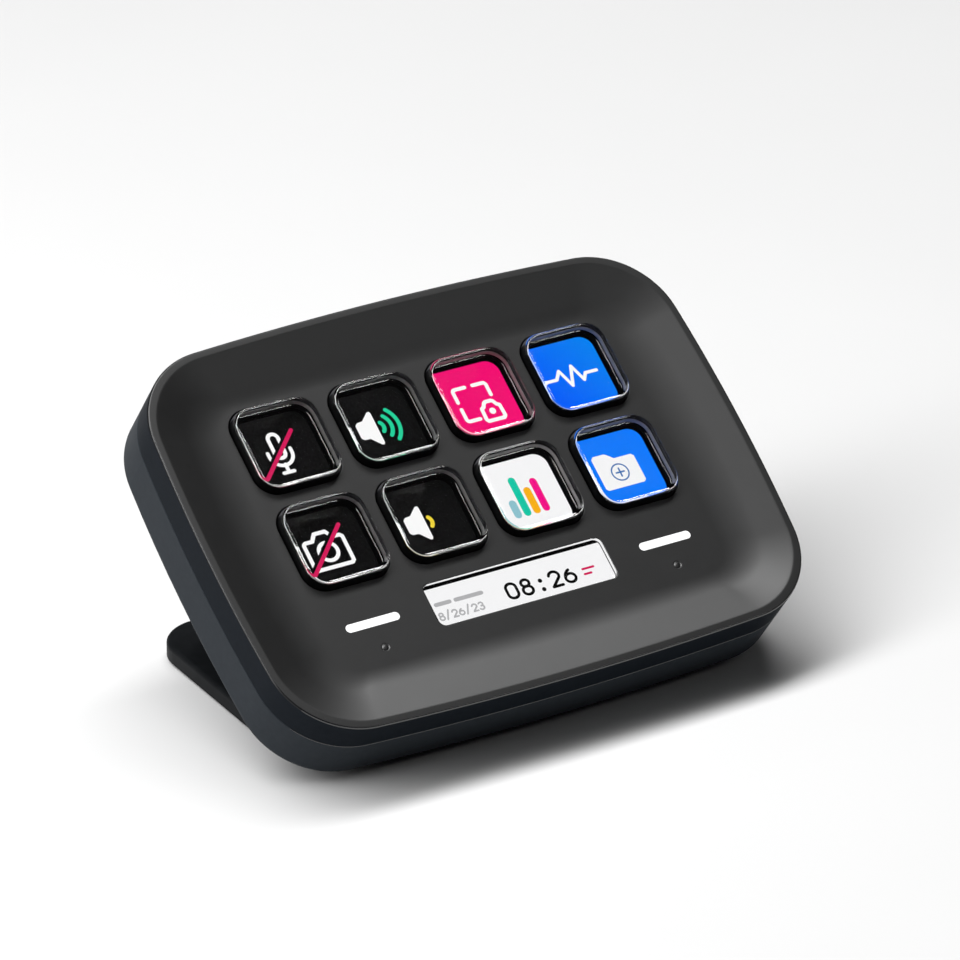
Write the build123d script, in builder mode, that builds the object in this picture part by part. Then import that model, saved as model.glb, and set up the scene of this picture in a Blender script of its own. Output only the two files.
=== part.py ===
from build123d import *
import os
from math import sin, cos, tan, atan2, radians, degrees, hypot, sqrt, pi

os.makedirs("parts", exist_ok=True)

# ---------------------------------------------------------------- driving dimensions (mm)
BODY_W = 107.0          # width of the housing
BODY_H = 77.1           # height of the housing, measured up its tilted face
CORNER_R = 15.2         # corner arc of the outline
BOW_TOP_R = 704.0       # the top and bottom sides are gently bowed
BOW_SIDE_R = 335.7      # and so are the left and right sides
TILT = 36.6             # angle of the face from the horizontal
FACE_Z = 34.6           # height of the face centre above the desk
FACE_Y = -3.2           # its place front to back

RIM_W = 2.35            # rim height above the flat key plane
RIM_LAND = 1.41         # flat land round the rim
DISH_RUN_1 = 4.5        # straight part of the dish slope
DISH_RUN_2 = 8.0        # blend from the slope to the flat
DISH_ANGLE = 15.5
PLATE_T = 1.2           # front plate under the flat
WALL = 2.0              # side walls
SEAM_W = -4.04          # joint between bezel and rear shell
BACK_W = -14.24         # rear face
FLOOR_T = 1.9           # rear shell floor

PITCH = 19.45           # key pitch, both ways
KEY_V = 7.60            # centre of the key block up the face
CAP_TOP = 1.78          # cap height above the face
CAP_HALF = 8.30
CAP_R = 3.9
CAP_ROUND = 0.71        # rolled edge round the top of a cap
CAP_STRAIGHT = 0.10     # its walls are straight up to here, then lean in
CAP_DRAFT = 12.74
CAP_LOW = -0.95         # underside of the clear block
FRAME_OPEN_HALF = 7.80  # opening of the frame under it
FLANGE_HALF = 9.15
FLANGE_T = 0.5
HOLE_HALF = 8.55
KEY_TRAVEL = 0.8

WIN_HALF_W = 17.90      # information window
WIN_HALF_H = 4.14
WIN_V = -18.29
WIN_R = 1.30            # its corners
BAR_U = 29.35           # touch light bars
BAR_V = -18.22
BAR_HALF_L = 5.23
BAR_HALF_H = 0.79
DIMPLE_U = 29.30
DIMPLE_V = -23.17

MAT_W = -2.58           # top of the mat sheet
LCD_W = -3.15           # front of the display glass
LCD_T = 1.2
POST_U = 46.9           # shell screw posts
POST_V = 22.0
CLIP_U = 30.0           # display chassis screws
CLIP_V_TOP = 31.6
CLIP_V_LOW = -30.0
PCB_W = -8.6            # front of the main board
PCB_T = 1.2
PCB_U = 36.0            # board screws
PCB_V = 21.0
USB_V = 17.5            # rear socket, up the back

STAND_T = 3.0           # stand plate
STAND_R = 5.0           # outer radius of its bend
STAND_Z = 0.6           # the rubber pad stands this proud
STAND_HALF = 44.4       # half its width
STAND_REAR_Y = 34.5
STAND_CORNER = 8.5
STAND_WAIST = 1.15      # each side comes in this much towards the rear
LEAF_END_V = 3.0
PAD_T = 1.0
STAND_SCREWS = [(-26.0, -3.0), (26.0, -3.0), (-26.0, -15.0), (26.0, -15.0)]

ELEV = radians(90.0 - TILT)
FACE = Plane(origin=(0, FACE_Y, FACE_Z), x_dir=(1, 0, 0), z_dir=(0, -cos(ELEV), sin(ELEV)))
SIDE = Plane.YZ         # local x is world Y, local y is world Z, normal is +X


def face(w):
    """The plane parallel to the face, w above the flat key plane."""
    return FACE.offset(w)


def to_world(u, v, w):
    return (u, FACE_Y + v * sin(ELEV) - w * cos(ELEV), FACE_Z + v * cos(ELEV) + w * sin(ELEV))


def outline_arcs(inset, corner):
    """The bowed outline, moved in by inset, with its own corner radius: eight arcs as start, middle, end."""
    rt, rs = BOW_TOP_R - inset, BOW_SIDE_R - inset
    top = (0.0, BODY_H / 2 - BOW_TOP_R)
    side = (BODY_W / 2 - BOW_SIDE_R, 0.0)
    dx, dy = side[0] - top[0], side[1] - top[1]
    length = hypot(dx, dy)
    r1, r2 = rt - corner, rs - corner
    a = (r1 * r1 - r2 * r2 + length * length) / (2 * length)
    h = sqrt(r1 * r1 - a * a)
    mx, my = top[0] + dx * a / length, top[1] + dy * a / length
    options = [(mx - dy / length * h, my + dx / length * h), (mx + dy / length * h, my - dx / length * h)]
    c = max(options, key=lambda q: q[0] + q[1])
    a_side = atan2(c[1] - side[1], c[0] - side[0])
    a_top = atan2(c[1] - top[1], c[0] - top[0])

    def on(centre, radius, angle):
        return (centre[0] + radius * cos(angle), centre[1] + radius * sin(angle))

    p_side, p_top = on(side, rs, a_side), on(top, rt, a_top)
    p_mid = on(c, corner, (a_side + a_top) / 2)
    arcs = []
    mirror = [(1, 1), (-1, 1), (-1, -1), (1, -1)]
    s = [(p_side[0] * mx_, p_side[1] * my_) for mx_, my_ in mirror]
    t = [(p_top[0] * mx_, p_top[1] * my_) for mx_, my_ in mirror]
    m = [(p_mid[0] * mx_, p_mid[1] * my_) for mx_, my_ in mirror]
    arcs.append((s[3], (side[0] + rs, 0.0), s[0]))
    arcs.append((s[0], m[0], t[0]))
    arcs.append((t[0], (0.0, top[1] + rt), t[1]))
    arcs.append((t[1], m[1], s[1]))
    arcs.append((s[1], (-side[0] - rs, 0.0), s[2]))
    arcs.append((s[2], m[2], t[2]))
    arcs.append((t[2], (0.0, -top[1] - rt), t[3]))
    arcs.append((t[3], m[3], s[3]))
    return arcs


def bow(inset=0.0, corner=None):
    """The outline's arcs, moved in by inset and, unless a corner is given, with concentric corners."""
    return outline_arcs(inset, CORNER_R - inset if corner is None else corner)


KEY_CENTRES = [((i - 1.5) * PITCH, KEY_V + (0.5 - j) * PITCH) for j in range(2) for i in range(4)]

# ---------------------------------------------------------------- front bezel
# sections of the dish: inset from the outline, height
run, drop = DISH_RUN_1, DISH_RUN_1 * tan(radians(DISH_ANGLE))
blend_r = DISH_RUN_2 / sin(radians(DISH_ANGLE))
dish = [(RIM_LAND - 0.9 / tan(radians(DISH_ANGLE)), RIM_W + 0.9), (RIM_LAND, RIM_W), (RIM_LAND + 0.5 * run, RIM_W - 0.5 * drop), (RIM_LAND + run, RIM_W - drop)]
for step in (0.25, 0.5, 0.75, 1.0):
    turn = radians(DISH_ANGLE) * (1 - step)
    dish.append((RIM_LAND + run + DISH_RUN_2 - blend_r * sin(turn), blend_r * (1 - cos(turn))))

with BuildPart() as front_bezel:
    with BuildSketch(face(SEAM_W)):
        with BuildLine():
            for arc in bow():
                ThreePointArc(*arc)
        make_face()
    extrude(amount=RIM_W - SEAM_W)
    fillet(front_bezel.edges().group_by(Axis((0, 0, 0), (0, -cos(ELEV), sin(ELEV))))[-1], radius=0.3)
    # inner lip that locates the rear shell
    with BuildSketch(face(SEAM_W)):
        with BuildLine():
            for arc in bow(1.05):
                ThreePointArc(*arc)
        make_face()
    extrude(amount=-1.15)
    # the dish
    for inset, height in dish[1:]:
        with BuildSketch(face(height)):
            with BuildLine():
                for arc in bow(inset, CORNER_R - 0.5 * inset):
                    ThreePointArc(*arc)
            make_face()
    loft(mode=Mode.SUBTRACT)
    # cavity behind the plate, and the deeper core round its edge
    with BuildSketch(face(-PLATE_T)):
        with BuildLine():
            for arc in bow(WALL):
                ThreePointArc(*arc)
        make_face()
    extrude(amount=-6.0, mode=Mode.SUBTRACT)
    with BuildSketch(face(-PLATE_T)):
        with BuildLine():
            for arc in bow(WALL):
                ThreePointArc(*arc)
        make_face()
        with BuildLine():
            for arc in bow(6.5):
                ThreePointArc(*arc)
        make_face(mode=Mode.SUBTRACT)
    extrude(amount=PLATE_T - 0.3, mode=Mode.SUBTRACT)
    # posts for the shell screws and for the display chassis
    with BuildSketch(face(-5.15)):
        with Locations(*[(x * POST_U, y * POST_V) for x in (-1, 1) for y in (-1, 1)]):
            Circle(2.6)
    extrude(amount=5.0)
    with BuildSketch(face(-5.0)):
        with Locations(*[(x * CLIP_U, v) for x in (-1, 1) for v in (CLIP_V_TOP, CLIP_V_LOW)]):
            Circle(2.0)
    extrude(amount=4.4)
    with BuildSketch(face(-5.15)):
        with Locations(*[(x * POST_U, y * POST_V) for x in (-1, 1) for y in (-1, 1)]):
            Circle(0.9)
    extrude(amount=4.6, mode=Mode.SUBTRACT)
    with BuildSketch(face(-5.0)):
        with Locations(*[(x * CLIP_U, v) for x in (-1, 1) for v in (CLIP_V_TOP, CLIP_V_LOW)]):
            Circle(0.7)
    extrude(amount=3.6, mode=Mode.SUBTRACT)
    # key holes
    with BuildSketch(face(-PLATE_T - 0.5)):
        with Locations(*KEY_CENTRES):
            RectangleRounded(2 * HOLE_HALF, 2 * HOLE_HALF, CAP_R + 0.25)
        with Locations((0, WIN_V)):
            RectangleRounded(2 * WIN_HALF_W, 2 * WIN_HALF_H, WIN_R)
        with Locations((-BAR_U, BAR_V), (BAR_U, BAR_V)):
            SlotOverall(2 * BAR_HALF_L, 2 * BAR_HALF_H)
    extrude(amount=4.0, mode=Mode.SUBTRACT)
    # touch dimples
    with BuildSketch(face(-0.35)):
        with Locations((-DIMPLE_U, DIMPLE_V), (DIMPLE_U, DIMPLE_V)):
            Circle(0.7)
    extrude(amount=2.0, mode=Mode.SUBTRACT)

# ---------------------------------------------------------------- keys: a clear block bonded to a dark frame
for number, (ku, kv) in enumerate(KEY_CENTRES, start=1):
    with BuildPart() as key_cap:
        with BuildSketch(face(CAP_LOW)):
            with Locations((ku, kv)):
                RectangleRounded(2 * CAP_HALF, 2 * CAP_HALF, CAP_R)
        extrude(amount=CAP_STRAIGHT - CAP_LOW)
        with BuildSketch(face(CAP_STRAIGHT)):
            with Locations((ku, kv)):
                RectangleRounded(2 * CAP_HALF, 2 * CAP_HALF, CAP_R)
        extrude(amount=CAP_TOP - CAP_STRAIGHT, taper=CAP_DRAFT)
        fillet(key_cap.faces().sort_by(Axis((0, 0, 0), (0, -cos(ELEV), sin(ELEV))))[-1].edges(), radius=CAP_ROUND)
    key_cap.part.label = f"key_cap_{number}"
    export_step(key_cap.part, f"parts/key_cap_{number}.step")
    # the frame's flange stops under the front plate
    with BuildPart() as key_frame:
        with BuildSketch(face(CAP_LOW)):
            with Locations((ku, kv)):
                RectangleRounded(2 * CAP_HALF, 2 * CAP_HALF, CAP_R)
        extrude(amount=-PLATE_T - 0.05 - FLANGE_T - CAP_LOW)
        with BuildSketch(face(-PLATE_T - 0.05)):
            with Locations((ku, kv)):
                RectangleRounded(2 * FLANGE_HALF, 2 * FLANGE_HALF, CAP_R + 0.85)
        extrude(amount=-FLANGE_T)
        with BuildSketch(face(-3.0)):
            with Locations((ku, kv)):
                RectangleRounded(2 * FRAME_OPEN_HALF, 2 * FRAME_OPEN_HALF, 3.5)
        extrude(amount=4.0, mode=Mode.SUBTRACT)
    key_frame.part.label = f"key_frame_{number}"
    export_step(key_frame.part, f"parts/key_frame_{number}.step")

# ---------------------------------------------------------------- information window
with BuildPart() as info_window:
    with BuildSketch(face(-PLATE_T)):
        with Locations((0, WIN_V)):
            RectangleRounded(2 * WIN_HALF_W + 2.0, 2 * WIN_HALF_H + 2.0, WIN_R + 0.6)
    extrude(amount=-0.5)
    with BuildSketch(face(-PLATE_T)):
        with Locations((0, WIN_V)):
            RectangleRounded(2 * WIN_HALF_W - 0.06, 2 * WIN_HALF_H - 0.06, WIN_R - 0.03)
    extrude(amount=PLATE_T - 0.02)

# ---------------------------------------------------------------- light pipes of the touch bars
with BuildPart() as light_bar_left:
    with BuildSketch(face(-PLATE_T)):
        with Locations((-BAR_U, BAR_V)):
            SlotOverall(2 * BAR_HALF_L - 0.06, 2 * BAR_HALF_H - 0.06)
    extrude(amount=PLATE_T)
    with BuildSketch(face(-PLATE_T)):
        with Locations((-BAR_U, BAR_V)):
            SlotOverall(2 * BAR_HALF_L + 1.6, 2 * BAR_HALF_H + 1.4)
    extrude(amount=-(-LCD_W - PLATE_T - 0.08))

with BuildPart() as light_bar_right:
    with BuildSketch(face(-PLATE_T)):
        with Locations((BAR_U, BAR_V)):
            SlotOverall(2 * BAR_HALF_L - 0.06, 2 * BAR_HALF_H - 0.06)
    extrude(amount=PLATE_T)
    with BuildSketch(face(-PLATE_T)):
        with Locations((BAR_U, BAR_V)):
            SlotOverall(2 * BAR_HALF_L + 1.6, 2 * BAR_HALF_H + 1.4)
    extrude(amount=-(-LCD_W - PLATE_T - 0.08))

# ---------------------------------------------------------------- touch electrodes, one flexible circuit
with BuildPart() as touch_flex:
    with BuildSketch(face(-PLATE_T)):
        with Locations((-DIMPLE_U, DIMPLE_V), (DIMPLE_U, DIMPLE_V)):
            RectangleRounded(12.0, 4.4, 1.0)
        with Locations((0, -25.9)):
            Rectangle(2 * DIMPLE_U + 8.0, 1.5)
    extrude(amount=-0.15)

# ---------------------------------------------------------------- silicone mat with a raised ring under each cap
with BuildPart() as key_mat:
    with BuildSketch(face(MAT_W)):
        with Locations((0, KEY_V)):
            RectangleRounded(78.4, 39.6, 3.0)
        with Locations(*KEY_CENTRES):
            RectangleRounded(14.9, 14.9, 3.2, mode=Mode.SUBTRACT)
    extrude(amount=-0.3)
    with BuildSketch(face(MAT_W)):
        with Locations(*KEY_CENTRES):
            RectangleRounded(18.0, 18.0, 4.2)
        with Locations(*KEY_CENTRES):
            RectangleRounded(16.4, 16.4, 3.8, mode=Mode.SUBTRACT)
    extrude(amount=-PLATE_T - 0.05 - FLANGE_T - MAT_W - 0.02)

# ---------------------------------------------------------------- membrane circuit under the mat
with BuildPart() as switch_film:
    with BuildSketch(face(MAT_W - 0.3)):
        with Locations((0, KEY_V)):
            RectangleRounded(78.4, 39.6, 3.0)
        with Locations(*KEY_CENTRES):
            RectangleRounded(14.8, 14.8, 3.0, mode=Mode.SUBTRACT)
    extrude(amount=-0.2)

# ---------------------------------------------------------------- foam round the window and the bars
with BuildPart() as display_foam:
    with BuildSketch(face(-PLATE_T - 0.15)):
        with Locations((0, -19.6)):
            RectangleRounded(77.0, 13.0, 1.0)
        with Locations((0, WIN_V)):
            Rectangle(2 * WIN_HALF_W + 2.4, 2 * WIN_HALF_H + 2.4, mode=Mode.SUBTRACT)
        with Locations((-BAR_U, BAR_V), (BAR_U, BAR_V)):
            SlotOverall(2 * BAR_HALF_L + 2.0, 2 * BAR_HALF_H + 1.8, mode=Mode.SUBTRACT)
    extrude(amount=-(-LCD_W - PLATE_T - 0.15 - 0.02))

# ---------------------------------------------------------------- display
with BuildPart() as lcd_panel:
    with BuildSketch(face(LCD_W)):
        with Locations((1.5, 0.9)):
            Rectangle(82.0, 54.6)
    extrude(amount=-LCD_T)
    chamfer(lcd_panel.edges().filter_by(Axis((0, 0, 0), (0, -cos(ELEV), sin(ELEV)))), length=0.4)

with BuildPart() as lcd_backlight:
    with BuildSketch(face(LCD_W - LCD_T - 0.05)):
        with Locations((0.9, 0.9)):
            Rectangle(80.4, 54.0)
    extrude(amount=-2.0)
    # rounded cut where the light strip's tail leaves
    with BuildSketch(face(LCD_W - LCD_T - 0.05)):
        with Locations((0.9 + 40.2, 0.9)):
            Rectangle(1.2, 18.0)
    extrude(amount=-2.0, mode=Mode.SUBTRACT)

CHASSIS_FLOOR = LCD_W - LCD_T - 2.1
with BuildPart() as lcd_chassis:
    with BuildSketch(face(CHASSIS_FLOOR - 0.6)):
        with Locations((1.5, 0.9)):
            RectangleRounded(84.6, 57.2, 1.2)
    extrude(amount=0.6 + 2.1 + LCD_T - 0.1)
    with BuildSketch(face(CHASSIS_FLOOR)):
        with Locations((1.5, 0.9)):
            Rectangle(82.2, 54.8)
    extrude(amount=8.0, mode=Mode.SUBTRACT)
    # ears for the chassis screws
    with BuildSketch(face(-6.1)):
        with Locations(*[(x * CLIP_U, v) for x in (-1, 1) for v in (CLIP_V_TOP, CLIP_V_LOW)]):
            Circle(2.6)
        with Locations(*[(x * CLIP_U, CLIP_V_TOP - 1.5) for x in (-1, 1)]):
            Rectangle(5.2, 2.8)
        with Locations(*[(x * CLIP_U, CLIP_V_LOW + 1.7) for x in (-1, 1)]):
            Rectangle(5.2, 3.0)
    extrude(amount=1.05)
    with BuildSketch(face(-6.5)):
        with Locations(*[(x * CLIP_U, v) for x in (-1, 1) for v in (CLIP_V_TOP, CLIP_V_LOW)]):
            Circle(1.1)
    extrude(amount=2.0, mode=Mode.SUBTRACT)
    # slot where the ribbon leaves
    with BuildSketch(face(CHASSIS_FLOOR - 0.6)):
        with Locations((43.4, 0.9)):
            Rectangle(2.4, 21.0)
    extrude(amount=5.0, mode=Mode.SUBTRACT)
    # lightening window in the floor
    with BuildSketch(face(CHASSIS_FLOOR - 0.6)):
        with Locations((-18, 0.9), (12, 0.9)):
            RectangleRounded(20.0, 34.0, 2.0)
    extrude(amount=0.6, mode=Mode.SUBTRACT)

# flat ribbon from the display round its right edge to the board
RIBBON = Plane(origin=to_world(0, 0.9, 0), x_dir=(1, 0, 0), z_dir=(0, -sin(ELEV), -cos(ELEV)))
with BuildPart() as display_ribbon:
    with BuildSketch(RIBBON):
        with BuildLine():
            Polyline((42.5, -3.70), (43.65, -3.70), (43.65, -7.45), (34.0, -7.45), (34.0, -7.65), (43.85, -7.65), (43.85, -3.50), (42.5, -3.50), close=True)
        make_face()
    extrude(amount=9.0, both=True)

# ---------------------------------------------------------------- main board and what it carries
PCB_BACK = PCB_W - PCB_T
with BuildPart() as main_pcb:
    with BuildSketch(face(PCB_W)):
        RectangleRounded(80.0, 50.0, 2.0)
        with Locations(*[(x * PCB_U, y * PCB_V) for x in (-1, 1) for y in (-1, 1)]):
            Circle(1.15, mode=Mode.SUBTRACT)
        with Locations((-40, 0)):
            RectangleRounded(6.0, 12.0, 1.0, mode=Mode.SUBTRACT)
    extrude(amount=-PCB_T)

with BuildPart() as controller_chip:
    with BuildSketch(face(PCB_BACK)):
        with Locations((-14, 16)):
            Rectangle(10.0, 10.0)
    extrude(amount=-0.9)
    chamfer(controller_chip.faces().sort_by(Axis((0, 0, 0), (0, -cos(ELEV), sin(ELEV))))[0].edges(), length=0.15)

with BuildPart() as memory_chip:
    with BuildSketch(face(PCB_BACK)):
        with Locations((-27, 15)):
            Rectangle(6.0, 5.0)
    extrude(amount=-0.8)
    with BuildSketch(face(PCB_BACK)):
        with Locations(*[(-27 + s * 3.35, 15 + k * 1.27) for s in (-1, 1) for k in (-1.5, -0.5, 0.5, 1.5)]):
            Rectangle(0.9, 0.42)
    extrude(amount=-0.25)

with BuildPart() as power_inductor:
    with BuildSketch(face(PCB_BACK)):
        with Locations((14, 9)):
            RectangleRounded(4.0, 4.0, 0.6)
    extrude(amount=-1.6)

with BuildPart() as clock_crystal:
    with BuildSketch(face(PCB_BACK)):
        with Locations((-14, 7.5)):
            RectangleRounded(3.2, 2.5, 0.4)
    extrude(amount=-0.75)

with BuildPart() as chip_capacitors:
    with BuildSketch(face(PCB_BACK)):
        with Locations((-7, 11), (-7, 14), (-7, 17), (-21.5, 19), (9.5, 6), (9.5, 12), (18.5, 6), (18.5, 12), (-18, 8)):
            Rectangle(1.6, 0.8)
    extrude(amount=-0.7)

with BuildPart() as display_connector:
    with BuildSketch(face(PCB_W)):
        with Locations((33.2, 0.9)):
            Rectangle(4.0, 20.0)
    extrude(amount=1.45)
    with BuildSketch(face(PCB_W + 0.95)):
        with Locations((34.4, 0.9)):
            Rectangle(1.7, 18.2)
    extrude(amount=0.22, mode=Mode.SUBTRACT)

with BuildPart() as film_connector:
    with BuildSketch(face(PCB_W)):
        with Locations((-33.2, 0.9)):
            Rectangle(4.0, 9.0)
    extrude(amount=1.45)
    with BuildSketch(face(PCB_W + 0.95)):
        with Locations((-34.4, 0.9)):
            Rectangle(1.7, 7.2)
    extrude(amount=0.22, mode=Mode.SUBTRACT)

# tail of the membrane circuit, round the left edge of the chassis to the board
with BuildPart() as film_tail:
    with BuildSketch(RIBBON):
        with BuildLine():
            Polyline((-39.2, -2.88), (-42.1, -2.88), (-42.1, -7.62), (-34.2, -7.62), (-34.2, -7.47), (-41.95, -7.47), (-41.95, -3.03), (-39.2, -3.03), close=True)
        make_face()
    extrude(amount=3.0, both=True)

# ---------------------------------------------------------------- rear socket
with BuildPart() as usb_c_socket:
    with BuildSketch(face(PCB_BACK)):
        with Locations((0, USB_V)):
            SlotOverall(8.94, 3.26)
    extrude(amount=-4.05)
    with BuildSketch(face(PCB_BACK - 0.9)):
        with Locations((0, USB_V)):
            SlotOverall(8.34, 2.66)
    extrude(amount=-4.0, mode=Mode.SUBTRACT)

with BuildPart() as usb_c_tongue:
    with BuildSketch(face(PCB_BACK - 0.9)):
        with Locations((0, USB_V)):
            Rectangle(6.7, 0.7)
    extrude(amount=-2.7)

# ---------------------------------------------------------------- rear shell
with BuildPart() as rear_shell:
    with BuildSketch(face(BACK_W)):
        with BuildLine():
            for arc in bow():
                ThreePointArc(*arc)
        make_face()
    extrude(amount=SEAM_W - BACK_W)
    fillet(rear_shell.edges().group_by(Axis((0, 0, 0), (0, -cos(ELEV), sin(ELEV))))[0], radius=2.0)
    chamfer(rear_shell.edges().group_by(Axis((0, 0, 0), (0, -cos(ELEV), sin(ELEV))))[-1], length=0.18)
    with BuildSketch(face(BACK_W + FLOOR_T)):
        with BuildLine():
            for arc in bow(WALL):
                ThreePointArc(*arc)
        make_face()
    extrude(amount=20.0, mode=Mode.SUBTRACT)
    # rebate for the bezel's lip
    with BuildSketch(face(SEAM_W - 1.2)):
        with BuildLine():
            for arc in bow(1.0):
                ThreePointArc(*arc)
        make_face()
    extrude(amount=3.0, mode=Mode.SUBTRACT)
    # posts for the shell screws
    with BuildSketch(face(BACK_W + 0.5)):
        with Locations(*[(x * POST_U, y * POST_V) for x in (-1, 1) for y in (-1, 1)]):
            Circle(3.0)
    extrude(amount=-5.2 - BACK_W - 0.5)
    with BuildSketch(face(BACK_W - 1.0)):
        with Locations(*[(x * POST_U, y * POST_V) for x in (-1, 1) for y in (-1, 1)]):
            Circle(1.25)
    extrude(amount=14.0, mode=Mode.SUBTRACT)
    with BuildSketch(face(BACK_W - 1.0)):
        with Locations(*[(x * POST_U, y * POST_V) for x in (-1, 1) for y in (-1, 1)]):
            Circle(2.2)
    extrude(amount=1.0 + 2.6, mode=Mode.SUBTRACT)
    # bosses for the board
    with BuildSketch(face(BACK_W + 0.5)):
        with Locations(*[(x * PCB_U, y * PCB_V) for x in (-1, 1) for y in (-1, 1)]):
            Circle(2.4)
        with Locations(*STAND_SCREWS):
            Circle(2.4)
    extrude(amount=PCB_BACK - BACK_W - 0.5 - 0.02)
    with BuildSketch(face(BACK_W + 1.2)):
        with Locations(*[(x * PCB_U, y * PCB_V) for x in (-1, 1) for y in (-1, 1)]):
            Circle(0.9)
    extrude(amount=6.0, mode=Mode.SUBTRACT)
    with BuildSketch(face(BACK_W - 0.5)):
        with Locations(*STAND_SCREWS):
            Circle(1.0)
    extrude(amount=0.5 + 4.0, mode=Mode.SUBTRACT)
    # mouth for the plug
    with BuildSketch(face(BACK_W - 1.0)):
        with Locations((0, USB_V)):
            SlotOverall(9.5, 3.8)
    extrude(amount=6.0, mode=Mode.SUBTRACT)
    with BuildSketch(face(BACK_W - 1.0)):
        with Locations((0, USB_V)):
            SlotOverall(13.0, 7.2)
    extrude(amount=1.0 + 0.7, mode=Mode.SUBTRACT)

# ---------------------------------------------------------------- stand: one bent plate
# outer corner where the back face line meets the underside line
v0 = (STAND_Z - FACE_Z - BACK_W * sin(ELEV)) / cos(ELEV)
y0 = FACE_Y + v0 * sin(ELEV) - BACK_W * cos(ELEV)
half = radians(TILT) / 2
cy, cz = y0 + STAND_R / tan(half), STAND_Z + STAND_R
leaf = (sin(ELEV), cos(ELEV))                   # up the back, in the side view
away = (cos(ELEV), -sin(ELEV))                  # out of the back
tip_o = to_world(0, LEAF_END_V, BACK_W)[1:]
tip_i = (tip_o[0] + away[0] * STAND_T, tip_o[1] + away[1] * STAND_T)
tan_o = (cy - away[0] * STAND_R, cz - away[1] * STAND_R)
tan_i = (cy - away[0] * (STAND_R - STAND_T), cz - away[1] * (STAND_R - STAND_T))
mid_dir = (-cos(half), -sin(half))
mid_o = (cy + mid_dir[0] * STAND_R, cz + mid_dir[1] * STAND_R)
mid_i = (cy + mid_dir[0] * (STAND_R - STAND_T), cz + mid_dir[1] * (STAND_R - STAND_T))


def on_upper_side(edge):
    """True for an edge of the outline on the side of the plate that faces the open wedge."""
    hits = []
    for t in (0.0, 0.5, 1.0):
        p = edge.position_at(t)
        depth = (p.Y - tip_i[0]) * away[0] + (p.Z - tip_i[1]) * away[1]
        on_leaf = abs(depth) < 1e-4
        on_foot = abs(p.Z - STAND_Z - STAND_T) < 1e-4
        on_bend = abs(hypot(p.Y - cy, p.Z - cz) - (STAND_R - STAND_T)) < 1e-4
        hits.append(on_leaf or on_foot or on_bend)
    across = abs(edge.position_at(0).X - edge.position_at(1).X) > 2 * STAND_HALF - 1
    return all(hits) and not across


with BuildPart() as stand:
    with BuildSketch(SIDE):
        with BuildLine():
            Line(tip_o, tan_o)
            ThreePointArc(tan_o, mid_o, (cy, STAND_Z))
            Line((cy, STAND_Z), (STAND_REAR_Y, STAND_Z))
            Line((STAND_REAR_Y, STAND_Z), (STAND_REAR_Y, STAND_Z + STAND_T))
            Line((STAND_REAR_Y, STAND_Z + STAND_T), (cy, STAND_Z + STAND_T))
            ThreePointArc((cy, STAND_Z + STAND_T), mid_i, tan_i)
            Line(tan_i, tip_i)
            Line(tip_i, tip_o)
        make_face()
    extrude(amount=STAND_HALF, both=True)
    # the foot narrows towards the rear
    with BuildSketch(Plane.XY.offset(-1.0)):
        for sx in (-1, 1):
            with BuildLine():
                Polyline((sx * STAND_HALF, -8.0), (sx * (STAND_HALF + 3.0), -8.0), (sx * (STAND_HALF + 3.0), STAND_REAR_Y + 3.0),
                         (sx * (STAND_HALF - STAND_WAIST * (STAND_REAR_Y + 11.0) / (STAND_REAR_Y + 8.0)), STAND_REAR_Y + 3.0), close=True)
            make_face()
    extrude(amount=1.0 + STAND_Z + STAND_T + 0.2, mode=Mode.SUBTRACT)
    # rounded rear corners
    fillet(stand.edges().filter_by(Axis.Z).group_by(Axis.Y)[-1], radius=STAND_CORNER)
    # the leaf on the back has rounded top corners
    fillet(stand.edges().filter_by(Axis((0, 0, 0), (0, away[0], away[1]))).group_by(Axis.Z)[-1], radius=9.0)
    # softened upper edge, all the way round the foot, the bend and the leaf
    rim_edges = [e for e in stand.edges() if on_upper_side(e)]
    fillet(rim_edges, radius=0.8)
    # recess for the rubber pad
    with BuildSketch(Plane.XY.offset(STAND_Z)):
        with Locations((0, (cy + 1.0 + STAND_REAR_Y - 3.0) / 2)):
            RectangleRounded(2 * STAND_HALF - 6.0, STAND_REAR_Y - 3.0 - cy - 1.0, STAND_CORNER - 3.0)
    extrude(amount=PAD_T - STAND_Z, mode=Mode.SUBTRACT)
    # countersunk screw holes
    with BuildSketch(face(BACK_W + 1.0)):
        with Locations(*STAND_SCREWS):
            Circle(1.25)
    extrude(amount=-6.0, mode=Mode.SUBTRACT)
    with BuildSketch(face(BACK_W - STAND_T + 1.3)):
        with Locations(*STAND_SCREWS):
            Circle(2.3)
    extrude(amount=-4.0, mode=Mode.SUBTRACT)

with BuildPart() as foot_pad:
    with BuildSketch(Plane.XY):
        with Locations((0, (cy + 1.0 + STAND_REAR_Y - 3.0) / 2)):
            RectangleRounded(2 * STAND_HALF - 6.2, STAND_REAR_Y - 3.1 - cy - 1.0, STAND_CORNER - 3.1)
    extrude(amount=PAD_T)
    fillet(foot_pad.edges().group_by(Axis.Z)[0], radius=0.25)


# ---------------------------------------------------------------- screws: each group is separate solids with cross recesses
def screws(places, under_head, shank_to, head_r, head_h, shank_r, towards):
    """Heads start at under_head and stand away from the shank; towards is +1 when the shank runs to +w."""
    with BuildPart() as group:
        with BuildSketch(face(under_head)):
            with Locations(*places):
                Circle(head_r)
        extrude(amount=-towards * head_h)
        with BuildSketch(face(under_head)):
            with Locations(*places):
                Circle(shank_r)
        extrude(amount=shank_to - under_head)
        with BuildSketch(face(under_head - towards * head_h)):
            with Locations(*places):
                Rectangle(head_r * 1.15, head_r * 0.26)
                Rectangle(head_r * 0.26, head_r * 1.15)
        extrude(amount=towards * head_h * 0.55, mode=Mode.SUBTRACT)
    return group


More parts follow.
